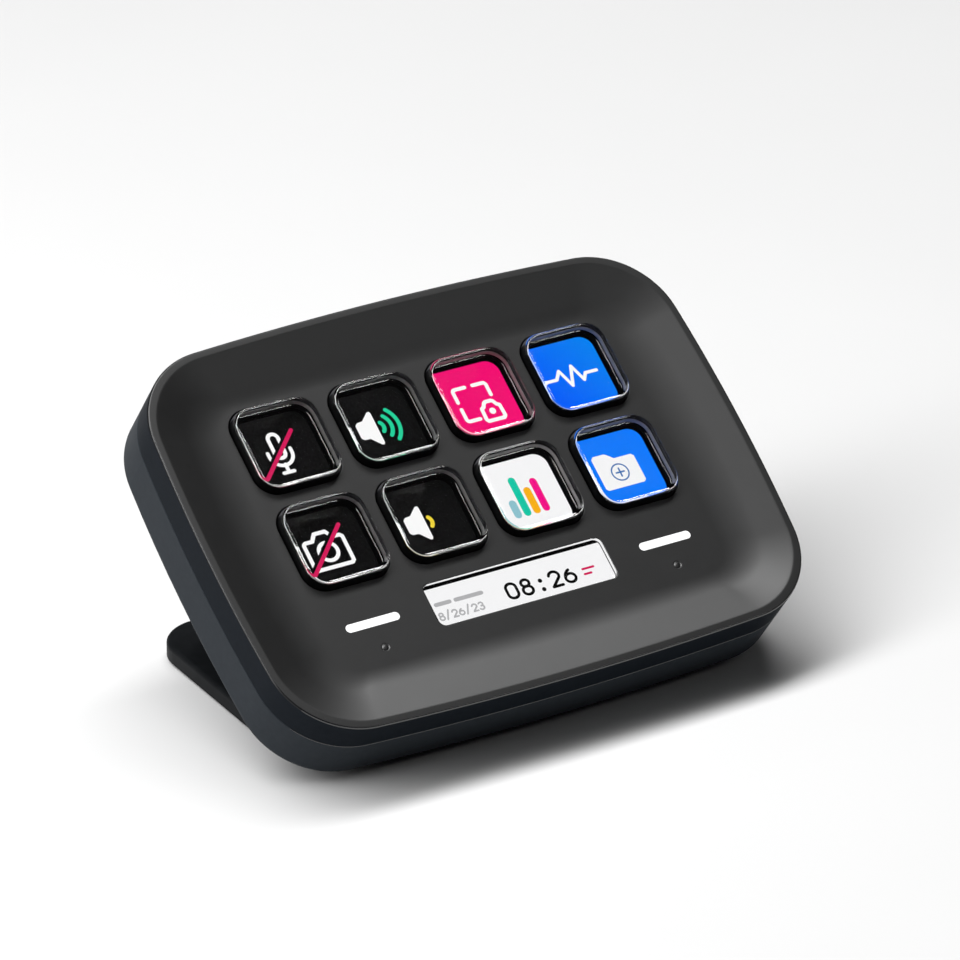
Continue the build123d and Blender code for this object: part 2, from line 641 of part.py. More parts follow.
shell_places = [(x * POST_U, y * POST_V) for x in (-1, 1) for y in (-1, 1)]
chassis_places = [(x * CLIP_U, v) for x in (-1, 1) for v in (CLIP_V_TOP, CLIP_V_LOW)]
pcb_places = [(x * PCB_U, y * PCB_V) for x in (-1, 1) for y in (-1, 1)]
shell_screws = screws(shell_places, BACK_W + 2.6, -1.0, 2.0, 1.3, 0.9, 1)
chassis_screws = screws(chassis_places, -6.1, -2.0, 1.5, 0.8, 0.7, 1)
pcb_screws = screws(pcb_places, PCB_W, BACK_W + 1.4, 1.7, 1.0, 0.9, -1)
stand_screws = screws(STAND_SCREWS, BACK_W - STAND_T + 1.3, PCB_BACK - 1.0, 2.1, 1.1, 1.0, 1)

pieces = {
    "front_bezel": front_bezel, "info_window": info_window, "light_bar_left": light_bar_left,
    "light_bar_right": light_bar_right, "touch_flex": touch_flex, "key_mat": key_mat, "switch_film": switch_film,
    "display_foam": display_foam, "lcd_panel": lcd_panel, "lcd_backlight": lcd_backlight, "lcd_chassis": lcd_chassis,
    "display_ribbon": display_ribbon, "main_pcb": main_pcb, "controller_chip": controller_chip,
    "memory_chip": memory_chip, "power_inductor": power_inductor, "clock_crystal": clock_crystal,
    "chip_capacitors": chip_capacitors, "display_connector": display_connector, "film_connector": film_connector,
    "film_tail": film_tail, "usb_c_socket": usb_c_socket, "usb_c_tongue": usb_c_tongue, "rear_shell": rear_shell,
    "stand": stand, "foot_pad": foot_pad, "shell_screws": shell_screws, "chassis_screws": chassis_screws,
    "pcb_screws": pcb_screws, "stand_screws": stand_screws,
}
for name, piece in pieces.items():
    piece.part.label = name
    export_step(piece.part, f"parts/{name}.step")

box = front_bezel.part.bounding_box()
for other in list(pieces.values())[1:]:
    box = box.add(other.part.bounding_box())
print("overall", box.min, box.max)
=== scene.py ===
import bpy
import bmesh
import math
from mathutils import Matrix, Vector
from mathutils.geometry import delaunay_2d_cdt

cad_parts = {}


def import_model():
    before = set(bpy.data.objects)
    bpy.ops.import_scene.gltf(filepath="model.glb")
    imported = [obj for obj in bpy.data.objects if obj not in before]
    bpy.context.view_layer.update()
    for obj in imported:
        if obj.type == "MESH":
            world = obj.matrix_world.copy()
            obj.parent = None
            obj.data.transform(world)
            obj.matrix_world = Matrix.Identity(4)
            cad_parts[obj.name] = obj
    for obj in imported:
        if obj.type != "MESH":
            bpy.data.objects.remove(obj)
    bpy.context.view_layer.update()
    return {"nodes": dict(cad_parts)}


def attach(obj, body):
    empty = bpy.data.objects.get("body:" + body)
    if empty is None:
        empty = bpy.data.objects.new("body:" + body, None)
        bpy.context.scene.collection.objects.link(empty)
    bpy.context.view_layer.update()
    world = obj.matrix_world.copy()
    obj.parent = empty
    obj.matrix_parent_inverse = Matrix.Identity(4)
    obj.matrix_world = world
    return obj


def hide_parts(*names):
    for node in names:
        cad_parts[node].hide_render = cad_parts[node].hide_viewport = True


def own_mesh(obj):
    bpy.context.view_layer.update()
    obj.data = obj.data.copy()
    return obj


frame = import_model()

NODES = frame["nodes"]
SCENE = bpy.context.scene
COLL = SCENE.collection

# ------------------------------------------------------------------ dimensions, in mm, in the tilted face's own axes
BODY_W, BODY_H, CORNER_R = 107.0, 77.1, 15.2
BOW_TOP_R, BOW_SIDE_R = 704.0, 335.7
ELEV = math.radians(53.4)
SE, CE = math.sin(ELEV), math.cos(ELEV)
RIM_W, RIM_LAND, DISH_ANGLE = 2.35, 1.41, math.radians(15.5)
SEAM_W, PLATE_T = -4.04, 1.2
PITCH, KEY_V = 19.45, 7.60
HOLE_HALF, HOLE_R = 8.55, 4.15
CAP_TOP, CAP_LOW, CAP_HALF, CAP_R = 1.78, -0.95, 8.30, 3.9
CAP_STRAIGHT, CAP_DRAFT, CAP_ROUND = 0.10, math.radians(12.74), 0.71
WIN_HALF_W, WIN_HALF_H, WIN_V, WIN_R = 17.90, 4.14, -18.29, 1.30
BAR_U, BAR_V, BAR_HALF_L, BAR_HALF_H = 29.35, -18.22, 5.23, 0.79
DIMPLE_U, DIMPLE_V, DIMPLE_R = 29.30, -23.17, 0.7
LCD_W = -3.15
KEYS = [((i - 1.5) * PITCH, KEY_V + (0.5 - j) * PITCH) for j in range(2) for i in range(4)]


V_FACE, N_FACE = Vector((0, SE, CE)), Vector((0, -CE, SE))


def world(u, v, w):
    """Face axes in mm to the model's frame in metres."""
    return Vector((u, -3.2 + SE * v - CE * w, 34.6 + CE * v + SE * w)) * 0.001


# ------------------------------------------------------------------ outlines
def bowed(hw, hh, rt, rs, corner, n=(14, 30, 20)):
    """A rounded rectangle with gently bowed sides, as one loop of (u, v) that always has the same number of points."""
    ty, sx = hh - rt, hw - rs
    dx, dy = sx, -ty
    length = math.hypot(dx, dy)
    r1, r2 = rt - corner, rs - corner
    a = (r1 * r1 - r2 * r2 + length * length) / (2 * length)
    h = math.sqrt(r1 * r1 - a * a)
    mx, my = dx * a / length, ty + dy * a / length
    cx, cy = max([(mx - dy / length * h, my + dx / length * h), (mx + dy / length * h, my - dx / length * h)], key=sum)
    a_side, a_top = math.atan2(cy, cx - sx), math.atan2(cy - ty, cx)
    q = []
    for k in range(n[0]):
        t = a_side * k / n[0]
        q.append((sx + rs * math.cos(t), rs * math.sin(t)))
    for k in range(n[1]):
        t = a_side + (a_top - a_side) * k / n[1]
        q.append((cx + corner * math.cos(t), cy + corner * math.sin(t)))
    for k in range(n[2] + 1):
        t = a_top + (math.pi / 2 - a_top) * k / n[2]
        q.append((rt * math.cos(t), ty + rt * math.sin(t)))
    left = [(-x, y) for x, y in reversed(q[:-1])]
    half = q + left
    return half + [(x, -y) for x, y in reversed(half[1:-1])]


def outline(inset, corner=None):
    corner = CORNER_R - inset if corner is None else corner
    return bowed(BODY_W / 2 - inset, BODY_H / 2 - inset, BOW_TOP_R - inset, BOW_SIDE_R - inset, corner)


def rounded(cx, cy, hx, hy, r, n=10):
    """A rounded rectangle as a loop of (u, v), anticlockwise."""
    out = []
    for sx, sy, a0 in ((1, 1, 0), (-1, 1, 90), (-1, -1, 180), (1, -1, 270)):
        for k in range(n + 1):
            t = math.radians(a0 + 90 * k / n)
            out.append((cx + sx * (hx - r) + r * math.cos(t), cy + sy * (hy - r) + r * math.sin(t)))
    return out


def circle(cx, cy, r, n=28):
    return [(cx + r * math.cos(2 * math.pi * k / n), cy + r * math.sin(2 * math.pi * k / n)) for k in range(n)]


# ------------------------------------------------------------------ mesh helpers
def ring(bm, loop, w):
    return [bm.verts.new(world(u, v, w)) for u, v in loop]


def bridge(bm, a, b, mat=0):
    n = len(a)
    for i in range(n):
        f = bm.faces.new((a[i], a[(i + 1) % n], b[(i + 1) % n], b[i]))
        f.material_index = mat


def inside(p, loop):
    hit = False
    for i in range(len(loop)):
        (x1, y1), (x2, y2) = loop[i - 1], loop[i]
        if (y1 > p[1]) != (y2 > p[1]) and p[0] < (x2 - x1) * (p[1] - y1) / (y2 - y1) + x1:
            hit = not hit
    return hit


def fill(bm, rings, loops, up=True, mat=0):
    """Fills the even-odd inside of the loops with triangles on the given rings of vertices."""
    verts = [v for r in rings for v in r]
    pts = [Vector(p) for loop in loops for p in loop]
    edges, start = [], 0
    for loop in loops:
        edges += [(start + i, start + (i + 1) % len(loop)) for i in range(len(loop))]
        start += len(loop)
    out_v, _, out_f, orig_v, _, _ = delaunay_2d_cdt(pts, edges, [], 0, 1e-6)
    for tri in out_f:
        c = sum((out_v[i] for i in tri), Vector((0, 0))) / 3
        if sum(inside(c, loop) for loop in loops) % 2 == 0:
            continue
        vs = [verts[orig_v[i][0]] for i in tri]
        a, b, d = (out_v[i] for i in tri)
        ccw = (b - a).cross(d - a) > 0
        if ccw != up:
            vs.reverse()
        f = bm.faces.new(vs)
        f.material_index = mat


def finish_mesh(bm, name, mats, sharp=35.0, weighted=True, breaks=()):
    """Smooth shading with sharp edges by angle; breaks are rings of vertices whose edges are sharp at any angle."""
    for loop in breaks:
        for a, b in zip(loop, loop[1:] + loop[:1]):
            edge = bm.edges.get((a, b))
            if edge:
                edge.smooth = False
    bmesh.ops.remove_doubles(bm, verts=bm.verts, dist=1e-8)
    bmesh.ops.recalc_face_normals(bm, faces=bm.faces)
    for f in bm.faces:
        f.smooth = True
    for e in bm.edges:
        if len(e.link_faces) == 2 and e.calc_face_angle(0.0) > math.radians(sharp):
            e.smooth = False
    mesh = bpy.data.meshes.new(name)
    bm.to_mesh(mesh)
    bm.free()
    obj = bpy.data.objects.new(name, mesh)
    COLL.objects.link(obj)
    for m in mats:
        mesh.materials.append(m)
    if weighted:
        mod = obj.modifiers.new("normals", "WEIGHTED_NORMAL")
        mod.keep_sharp = True
        mod.weight = 60
    return obj


def slab(bm, loops, w0, w1, mat=0):
    """A thin closed plate between two heights, with the even-odd inside of the loops."""
    low = [ring(bm, loop, w0) for loop in loops]
    high = [ring(bm, loop, w1) for loop in loops]
    fill(bm, high, loops, True, mat)
    fill(bm, low, loops, False, mat)
    for a, b in zip(low, high):
        bridge(bm, a, b, mat)


def stroke(points, width, closed=False, n=8):
    """The outline of a line of that width with round joins and round ends: one loop, or two if it is closed."""
    pts = [Vector(p) for p in points]
    h = width / 2

    def side(seq, closed_loop):
        out = []
        m = len(seq)
        for i in range(m):
            p = seq[i]
            prev = seq[i - 1] if (i or closed_loop) else None
            nxt = seq[(i + 1) % m] if (i < m - 1 or closed_loop) else None
            d1 = (p - prev).normalized() if prev is not None else None
            d2 = (nxt - p).normalized() if nxt is not None else None
            if d1 is None or d2 is None:
                d = d1 or d2
                out.append(p + Vector((d.y, -d.x)) * h)
                continue
            n1, n2 = Vector((d1.y, -d1.x)), Vector((d2.y, -d2.x))
            turn = d1.cross(d2)
            if turn > 1e-9:                       # this side is outside the turn
                a1, a2 = math.atan2(n1.y, n1.x), math.atan2(n2.y, n2.x)
                while a2 < a1:
                    a2 += 2 * math.pi
                k = max(1, int(math.ceil((a2 - a1) / math.radians(14))))
                out += [p + Vector((math.cos(a1 + (a2 - a1) * j / k), math.sin(a1 + (a2 - a1) * j / k))) * h for j in range(k + 1)]
            else:
                b = (n1 + n2)
                out.append(p + b * (h / max(1e-6, b.dot(n1))))
        return out

    if closed:
        right = side(pts, True)
        left = side(list(reversed(pts)), True)
        return [[tuple(p) for p in right], [tuple(p) for p in left]]
    right = side(pts, False)
    left = side(list(reversed(pts)), False)

    def cap(p, d):
        a0 = math.atan2(-d.x, d.y)
        return [p + Vector((math.cos(a0 + math.pi * j / n), math.sin(a0 + math.pi * j / n))) * h for j in range(1, n)]

    end = cap(pts[-1], (pts[-1] - pts[-2]).normalized())
    begin = cap(pts[0], (pts[0] - pts[1]).normalized())
    return [[tuple(p) for p in right + end + left + begin]]


def arc(cx, cy, r, a0, a1, n=18):
    return [(cx + r * math.cos(math.radians(a0 + (a1 - a0) * k / n)), cy + r * math.sin(math.radians(a0 + (a1 - a0) * k / n))) for k in range(n + 1)]


def at(points, cx, cy):
    return [(x + cx, y + cy) for x, y in points]


# ------------------------------------------------------------------ materials
def srgb(code):
    code = code.lstrip("#")
    out = []
    for i in (0, 2, 4):
        c = int(code[i:i + 2], 16) / 255
        out.append(c / 12.92 if c <= 0.04045 else ((c + 0.055) / 1.055) ** 2.4)
    return tuple(out)


def material(name, colour, rough=0.5, rough_var=0.05, tone=0.12, tone_scale=900.0, grain=0.0, grain_scale=5000.0,
             grain_depth=8e-6, streak=None, emit=None, emit_var=0.0, emit_scale=2500.0, **sockets):
    """A procedural finish: mottled tone, uneven gloss and a fine moulded grain over one shader."""
    m = bpy.data.materials.new(name)
    m.use_nodes = True
    nt = m.node_tree
    bsdf = nt.nodes["Principled BSDF"]
    for key, value in sockets.items():
        bsdf.inputs[key.replace("_", " ")].default_value = value
    coord = nt.nodes.new("ShaderNodeTexCoord")
    source = coord.outputs["Object"]
    if streak is not None:
        mapping = nt.nodes.new("ShaderNodeMapping")
        mapping.inputs["Scale"].default_value = streak
        nt.links.new(source, mapping.inputs["Vector"])
        source = mapping.outputs["Vector"]
    base = colour if not isinstance(colour, str) else srgb(colour)
    noise = nt.nodes.new("ShaderNodeTexNoise")
    noise.inputs["Scale"].default_value = tone_scale
    noise.inputs["Detail"].default_value = 4.0
    nt.links.new(source, noise.inputs["Vector"])
    ramp = nt.nodes.new("ShaderNodeValToRGB")
    ramp.color_ramp.elements[0].position = 0.3
    ramp.color_ramp.elements[1].position = 0.7
    ramp.color_ramp.elements[0].color = (*[c * (1 - tone) for c in base], 1)
    ramp.color_ramp.elements[1].color = (*[min(1.0, c * (1 + tone)) for c in base], 1)
    nt.links.new(noise.outputs["Fac"], ramp.inputs["Fac"])
    nt.links.new(ramp.outputs["Color"], bsdf.inputs["Base Color"])
    if rough_var:
        gloss = nt.nodes.new("ShaderNodeTexNoise")
        gloss.inputs["Scale"].default_value = tone_scale * 0.37
        gloss.inputs["Detail"].default_value = 3.0
        nt.links.new(source, gloss.inputs["Vector"])
        span = nt.nodes.new("ShaderNodeMapRange")
        span.inputs["To Min"].default_value = max(0.0, rough - rough_var)
        span.inputs["To Max"].default_value = min(1.0, rough + rough_var)
        nt.links.new(gloss.outputs["Fac"], span.inputs["Value"])
        nt.links.new(span.outputs["Result"], bsdf.inputs["Roughness"])
    else:
        bsdf.inputs["Roughness"].default_value = rough
    if grain:
        fine = nt.nodes.new("ShaderNodeTexNoise")
        fine.inputs["Scale"].default_value = grain_scale
        fine.inputs["Detail"].default_value = 2.0
        nt.links.new(source, fine.inputs["Vector"])
        bump = nt.nodes.new("ShaderNodeBump")
        bump.inputs["Strength"].default_value = grain
        bump.inputs["Distance"].default_value = grain_depth
        nt.links.new(fine.outputs["Fac"], bump.inputs["Height"])
        nt.links.new(bump.outputs["Normal"], bsdf.inputs["Normal"])
    if emit is not None:
        glow, strength = (srgb(emit[0]) if isinstance(emit[0], str) else emit[0]), emit[1]
        bsdf.inputs["Emission Strength"].default_value = strength
        if emit_var:
            fleck = nt.nodes.new("ShaderNodeTexNoise")
            fleck.inputs["Scale"].default_value = emit_scale
            fleck.inputs["Detail"].default_value = 3.0
            nt.links.new(source, fleck.inputs["Vector"])
            shade = nt.nodes.new("ShaderNodeValToRGB")
            shade.color_ramp.elements[0].position = 0.35
            shade.color_ramp.elements[1].position = 0.65
            shade.color_ramp.elements[0].color = (*[c * (1 - emit_var) for c in glow], 1)
            shade.color_ramp.elements[1].color = (*[min(1.0, c * (1 + emit_var)) for c in glow], 1)
            nt.links.new(fleck.outputs["Fac"], shade.inputs["Fac"])
            nt.links.new(shade.outputs["Color"], bsdf.inputs["Emission Color"])
        else:
            bsdf.inputs["Emission Color"].default_value = (*glow, 1)
    return m


M = {}
M["housing_plastic"] = material("housing_plastic", (0.0022, 0.0023, 0.0025), 0.44, 0.015, 0.25, 700, 0.22, 4200, 1.2e-5, Specular_IOR_Level=1.0)
M["housing_side"] = material("housing_side", (0.0086, 0.0110, 0.0146), 0.5, 0.03, 0.08, 900, 0.25, 4200, 1.2e-5, Specular_IOR_Level=0.02)
M["housing_edge"] = material("housing_edge", (0.004, 0.0045, 0.005), 0.30, 0.02, 0.25, 700, 0.0, 4200, 1e-5, Specular_IOR_Level=0.35)
# a glossier copy of the edge finish, given only to faces along the bottom to put a bright line there: a painted
# highlight
M["painted_highlight_gloss"] = material("painted_highlight_gloss", (0.004, 0.0045, 0.005), 0.20, 0.015, 0.25, 700, Specular_IOR_Level=1.0)
M["frame_plastic"] = material("frame_plastic", (0.034, 0.034, 0.036), 0.6, 0.05, 0.15, 900, 0.3, 4000, 1e-5, Specular_IOR_Level=0.0)
M["frame_wall"] = material("frame_wall", (0.24, 0.24, 0.245), 0.6, 0.05, 0.15, 900, 0.3, 4000, 1e-5, Specular_IOR_Level=0.05)
M["window_border"] = material("window_border", (0.030, 0.031, 0.033), 0.45, 0.05, 0.1, 900, Specular_IOR_Level=0.3)
M["shell_plastic"] = material("shell_plastic", (0.0255, 0.0300, 0.0355), 0.55, 0.04, 0.07, 900, 0.3, 5200, 1e-5, Specular_IOR_Level=0.05)
M["stand_plastic"] = material("stand_plastic", (0.0072, 0.0080, 0.0090), 0.5, 0.05, 0.2, 500, 0.3, 4500, 1e-5, Specular_IOR_Level=0.07)
M["foot_rubber"] = material("foot_rubber", (0.018, 0.018, 0.019), 0.85, 0.05, 0.25, 800, 0.5, 2600, 2e-5, Specular_IOR_Level=0.3)
M["cap_acrylic"] = material("cap_acrylic", (1.0, 1.0, 1.0), 0.012, 0.008, 0.0, 300, IOR=1.49, Transmission_Weight=1.0)
M["cap_wall"] = material("cap_wall", (0.002, 0.002, 0.0022), 0.35, 0.03, 0.3, 900, Specular_IOR_Level=0.04)
# lighter grey for the cap walls seen from inside: partly the coating's inner face, partly painted light standing in for
# light the clear block keeps out
M["cap_wall_inside_and_painted_light"] = material("cap_wall_inside_and_painted_light", (0.052, 0.052, 0.057), 0.35, 0.03, 0.2, 900, Specular_IOR_Level=0.04)
M["cap_edge"] = material("cap_edge", (1.0, 1.0, 1.0), 0.012, 0.008, 0.0, 300, IOR=1.49, Transmission_Weight=1.0, Coat_Weight=0.10, Coat_IOR=2.3, Coat_Roughness=0.06)
M["window_acrylic"] = material("window_acrylic", (1.0, 1.0, 1.0), 0.02, 0.01, 0.0, 300, IOR=1.49, Transmission_Weight=1.0)
M["light_diffuser"] = material("light_diffuser", (0.40, 0.405, 0.41), 0.4, 0.05, 0.03, 700, emit=((0.78, 0.78, 0.78), 1.0), emit_var=0.03)
M["silicone"] = material("silicone", (0.004, 0.004, 0.0044), 0.7, 0.06, 0.2, 700, 0.2, 3000, 1e-5, Specular_IOR_Level=0.0)
M["circuit_film"] = material("circuit_film", (0.005, 0.005, 0.0055), 0.6, 0.05, 0.2, 500, Specular_IOR_Level=0.0)
M["foam"] = material("foam", (0.006, 0.006, 0.006), 0.95, 0.03, 0.4, 1500, 0.8, 1500, 5e-5)
M["display_glass"] = material("display_glass", (0.0015, 0.0015, 0.0018), 0.15, 0.03, 0.2, 600, Specular_IOR_Level=0.05)
M["backlight_plastic"] = material("backlight_plastic", (0.62, 0.63, 0.64), 0.4, 0.05, 0.05, 500)
M["chassis_plastic"] = material("chassis_plastic", (0.05, 0.05, 0.052), 0.5, 0.05, 0.15, 500, 0.2, 3000)
M["board"] = material("board", (0.012, 0.06, 0.03), 0.4, 0.06, 0.3, 1500, 0.2, 2500)
M["chip_epoxy"] = material("chip_epoxy", (0.012, 0.012, 0.013), 0.5, 0.05, 0.2, 1500, 0.3, 6000)
M["capacitor_ceramic"] = material("capacitor_ceramic", (0.28, 0.20, 0.13), 0.4, 0.05, 0.15, 2500)
M["connector_plastic"] = material("connector_plastic", (0.55, 0.53, 0.48), 0.5, 0.05, 0.08, 1200)
M["plated_metal"] = material("plated_metal", (0.55, 0.56, 0.58), 0.3, 0.08, 0.08, 1500, 0.15, 6000, 4e-6, streak=(1.0, 6.0, 6.0), Metallic=1.0)
M["screw_steel"] = material("screw_steel", (0.06, 0.06, 0.065), 0.35, 0.08, 0.15, 2500, 0.2, 6000, 4e-6, Metallic=1.0)

for n, slot_name in {
    "rear_shell": "shell_plastic", "stand": "stand_plastic", "foot_pad": "foot_rubber", "info_window": "window_acrylic",
    "light_bar_left": "light_diffuser", "light_bar_right": "light_diffuser", "touch_flex": "circuit_film", "key_mat": "silicone",
    "switch_film": "circuit_film", "display_foam": "foam", "lcd_panel": "display_glass", "lcd_backlight": "backlight_plastic",
    "lcd_chassis": "chassis_plastic", "display_ribbon": "circuit_film", "main_pcb": "board", "controller_chip": "chip_epoxy",
    "memory_chip": "chip_epoxy", "power_inductor": "chip_epoxy", "clock_crystal": "plated_metal", "chip_capacitors": "capacitor_ceramic",
    "display_connector": "connector_plastic", "film_connector": "connector_plastic", "film_tail": "circuit_film",
    "usb_c_socket": "plated_metal", "usb_c_tongue": "connector_plastic", "shell_screws": "screw_steel", "chassis_screws": "screw_steel",
    "pcb_screws": "screw_steel", "stand_screws": "screw_steel", **{f"key_frame_{k}": "frame_plastic" for k in range(1, 9)},
}.items():
    mesh = NODES[n].data
    mesh.materials.clear()
    mesh.materials.append(M[slot_name])

# ------------------------------------------------------------------ front bezel
EDGE = 0.13            # edge round of every opening


def opening(kind, e):
    """The loops of one kind of opening, e larger all round than its straight wall."""
    if kind == "window":
        return rounded(0, WIN_V, WIN_HALF_W + e, WIN_HALF_H + e, WIN_R + e, 12)
    side, what = kind
    if what == "bar":
        e *= 0.35
        return rounded(side * BAR_U, BAR_V, BAR_HALF_L - 0.02 + e, BAR_HALF_H - 0.02 + e, BAR_HALF_H - 0.02 + e - 1e-4, 12)
    if what == "dimple":
        return circle(side * DIMPLE_U, DIMPLE_V, DIMPLE_R + e)
    u, v = what
    return rounded(u, v, HOLE_HALF + e, HOLE_HALF + e, HOLE_R + e, 14)


KINDS = [(1, k) for k in KEYS] + ["window", (-1, "bar"), (1, "bar"), (-1, "dimple"), (1, "dimple")]

bm = bmesh.new()
slope, soft = math.tan(DISH_ANGLE), math.tan(DISH_ANGLE / 2)
EDGE_R, BREAK = 0.38, 0.2
rings = [ring(bm, outline(0.10), SEAM_W)]
for w in (SEAM_W + 0.12, -3.0, -2.0, -1.0, 0.0, 1.0):
    rings.append(ring(bm, outline(0.0), w))
for a in (0, 15, 30, 45, 60, 75, 90):
    t = math.radians(a)
    rings.append(ring(bm, outline(EDGE_R * (1 - math.cos(t))), RIM_W - EDGE_R * (1 - math.sin(t))))
land = outline(RIM_LAND, CORNER_R - 0.5 * RIM_LAND)
flat = bowed(39.6, 26.45, 3000.0, 1500.0, 5.5)
for d in (-1.0, -0.5, 0.0):
    inset = RIM_LAND + d * BREAK
    rings.append(ring(bm, outline(inset, CORNER_R - 0.5 * inset), RIM_W - slope * (d * BREAK + BREAK) ** 2 / (4 * BREAK)))


def dish_ring(place):
    """One ring of the dish. place gives (share of the straight slope, share of the blend), the run differs round the loop."""
    verts = []
    for (x0, y0), (x1, y1) in zip(land, flat):
        run = math.hypot(x1 - x0, y1 - y0)
        straight = (RIM_W - soft * run) / (slope - soft)
        blend = run - straight
        s, t = place
        if t is None:
            d = BREAK + (straight - BREAK) * s
            w = RIM_W - (slope * (d + BREAK) ** 2 / (4 * BREAK) if d <= BREAK else slope * d)
        else:
            turn = DISH_ANGLE * (1 - t)
            radius = blend / math.sin(DISH_ANGLE)
            d = straight + blend - radius * math.sin(turn)
            w = radius * (1 - math.cos(turn))
        verts.append(bm.verts.new(world(x0 + (x1 - x0) * d / run, y0 + (y1 - y0) * d / run, w)))
    return verts


for s in (0.0, 0.12, 0.3, 0.5, 0.75, 1.0):
    rings.append(dish_ring((s, None)))
for k in range(1, 25):
    rings.append(dish_ring((None, k / 24)))
for k, (a, b) in enumerate(zip(rings, rings[1:])):
    bridge(bm, a, b, 1 if k < 8 else 0)
# flat with its openings, each with a rounded edge, a wall and the plate's underside
flat_rings, flat_loops, low_rings, low_loops = [rings[-1]], [flat], [], []
for kind in KINDS:
    steps = [(EDGE * (1 - math.sin(math.radians(a))), -EDGE * (1 - math.cos(math.radians(a)))) for a in (0, 8, 22, 45, 67, 90)]
    blind = kind[1] == "dimple"
    if kind[1] == "bar":
        steps = [(e, 0.35 * w) for e, w in steps]
    if blind:      # a shallow groove round a low dome
        steps = [(EDGE, 0.0), (0.10, -0.02), (0.04, -0.08), (-0.03, -0.13), (-0.09, -0.14), (-0.15, -0.12), (-0.22, -0.07), (-0.32, -0.02), (-0.45, 0.012), (-0.58, 0.025)]
        chain = [ring(bm, opening(kind, e), w) for e, w in steps]
    else:
        chain = [ring(bm, opening(kind, e), w) for e, w in steps] + [ring(bm, opening(kind, 0.0), -PLATE_T)]
    for a, b in zip(chain, chain[1:]):
        bridge(bm, a, b)
    flat_rings.append(chain[0])
    flat_loops.append(opening(kind, EDGE))
    if blind:
        bm.faces.new(chain[-1])
    else:
        low_rings.append(chain[-1])
        low_loops.append(opening(kind, 0.0))
fill(bm, flat_rings, flat_loops, True)
core = ring(bm, outline(6.5), -PLATE_T)
fill(bm, [core] + low_rings, [outline(6.5)] + low_loops, False)
inner = [core, ring(bm, outline(6.5), -0.3), ring(bm, outline(2.0), -0.3), ring(bm, outline(2.0), SEAM_W - 1.15),
         ring(bm, outline(1.05), SEAM_W - 1.15), ring(bm, outline(1.05), SEAM_W), rings[0]]
for a, b in zip(inner, inner[1:]):
    bridge(bm, a, b)
bezel = finish_mesh(bm, "bezel_shell", [M["housing_plastic"], M["housing_side"]], 30, breaks=flat_rings[1:])
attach(bezel, "housing")
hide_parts("front_bezel")

# ------------------------------------------------------------------ a fine bead in the joint between the two housings, and one on the rim's edge; along the bottom both take a glossier copy of the edge finish that puts a bright line there: a painted highlight
EDGES = []
bm = bmesh.new()
bead = [(0.005, SEAM_W - 0.20), (0.02, SEAM_W - 0.10), (0.08, SEAM_W - 0.04), (0.16, SEAM_W - 0.02), (0.3, SEAM_W - 0.02), (0.3, SEAM_W - 0.20)]
chain = [ring(bm, outline(d), w) for d, w in bead]
for a, b in zip(chain, chain[1:] + chain[:1]):
    bridge(bm, a, b)
bm.normal_update()
# painted highlight: only the bead's faces along the bottom keep the glossy copy, the rest take the rear shell's plastic
for f in bm.faces:
    c = f.calc_center_median() * 1000
    if (c.y + 3.2) * SE + (c.z - 34.6) * CE > -31.0:
        f.material_index = 1
bead = finish_mesh(bm, "joint_bead", [M["painted_highlight_gloss"], M["shell_plastic"]], 50)
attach(bead, "housing")
EDGES.append(bead)
bm = bmesh.new()
arc_pts = [(EDGE_R * (1 - math.cos(t)) - 0.004 * math.cos(t), RIM_W - EDGE_R * (1 - math.sin(t)) + 0.004 * math.sin(t)) for t in [math.radians(a) for a in range(12, 73, 6)]]
arc_pts.append((EDGE_R, RIM_W - EDGE_R))
chain = [ring(bm, outline(d), w) for d, w in arc_pts]
for a, b in zip(chain, chain[1:] + chain[:1]):
    bridge(bm, a, b)
bm.normal_update()
# painted highlight: the rim's edge takes the glossy copy only along the bottom, elsewhere the plain edge finish
for f in bm.faces:
    c = f.calc_center_median() * 1000
    if (c.y + 3.2) * SE + (c.z - 34.6) * CE < -31.0:
        f.material_index = 1
bead = finish_mesh(bm, "rim_bead", [M["housing_edge"], M["painted_highlight_gloss"]], 40)
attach(bead, "housing")
EDGES.append(bead)

# ------------------------------------------------------------------ key caps: clear blocks with a soft rolled edge
lean = (CAP_TOP - CAP_STRAIGHT) * math.tan(CAP_DRAFT)
tangent = CAP_ROUND * math.tan((math.pi / 2 - CAP_DRAFT) / 2)
for number, (ku, kv) in enumerate(KEYS, start=1):
    bm = bmesh.new()
    prof = [(CAP_HALF - 0.08, CAP_R - 0.08, CAP_LOW + 0.012), (CAP_HALF, CAP_R, CAP_LOW + 0.09), (CAP_HALF, CAP_R, CAP_STRAIGHT)]
    for k in range(13):
        t = CAP_DRAFT + (math.pi / 2 - CAP_DRAFT) * k / 12
        d = lean + tangent - CAP_ROUND * math.cos(t)
        prof.append((CAP_HALF - d, CAP_R - d, CAP_TOP - CAP_ROUND * (1 - math.sin(t))))
    chain = [ring(bm, rounded(ku, kv, h, h, r, 20), w) for h, r, w in prof]
    for k, (a, b) in enumerate(zip(chain, chain[1:])):
        bridge(bm, a, b, 2 if k >= 3 else 3)
    bm.faces.new(chain[-1])
    bm.faces.new(list(reversed(chain[0])))
    bm.normal_update()
    # left and bottom walls take the black coating; right and top walls keep a lighter grey, partly the coating's inner
    # face and partly painted light for the light the clear block keeps from them
    for f in bm.faces:
        c = f.calc_center_median() * 1000
        w = (c.z - 34.6) * SE - (c.y + 3.2) * CE
        if w < 1.2 and abs(f.normal.dot(N_FACE)) < 0.3 and f.normal.x + f.normal.dot(V_FACE) < -0.1:
            f.material_index = 1
    cap = finish_mesh(bm, f"cap_block_{number}", [M["cap_acrylic"], M["cap_wall"], M["cap_edge"], M["cap_wall_inside_and_painted_light"]], 40)
    EDGES.append(cap)
    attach(cap, f"key_{number}")
    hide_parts(f"key_cap_{number}")

